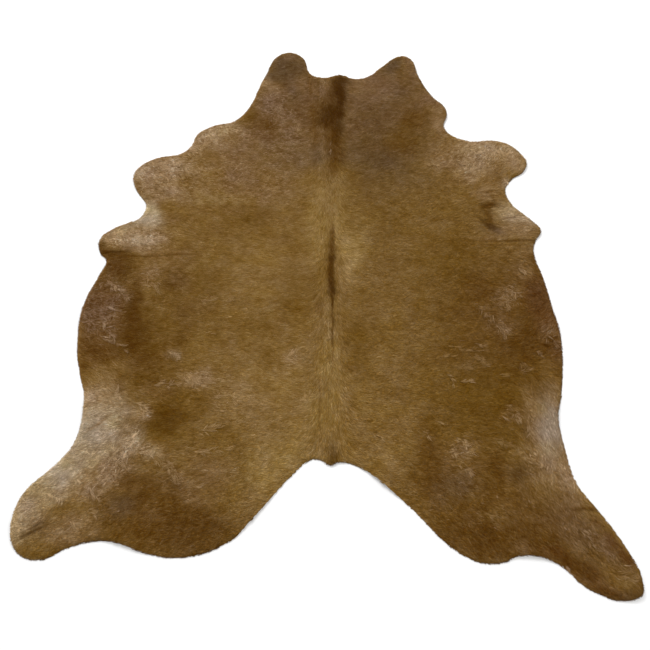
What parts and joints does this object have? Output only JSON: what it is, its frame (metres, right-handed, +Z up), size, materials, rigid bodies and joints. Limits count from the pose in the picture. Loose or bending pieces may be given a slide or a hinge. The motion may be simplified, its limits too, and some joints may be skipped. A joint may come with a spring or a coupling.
{
  "type": "hair-on cowhide rug",
  "caption": "One tanned hide with its coat on, cut with an uneven edge of neck, legs and rump, which lies flat on a floor as a rug.",
  "frame": {"origin": "centre of the hide's box in plan, on the floor that its underside rests on", "axes": "+Y along the spine from tail to neck, +X to the right of the spine seen from above with the neck away, +Z up out of the coat"},
  "size_m": [1.8837, 2.2595, 0.0159],
  "materials": {
    "coat": "short golden brown cattle hair lying flat with a low satin sheen, paler and greyer at the armpits, flanks and groins, with a dark line down the spine"
  },
  "bodies": {
    "root": {"hide": "coat"}
  },
  "joints": []
}
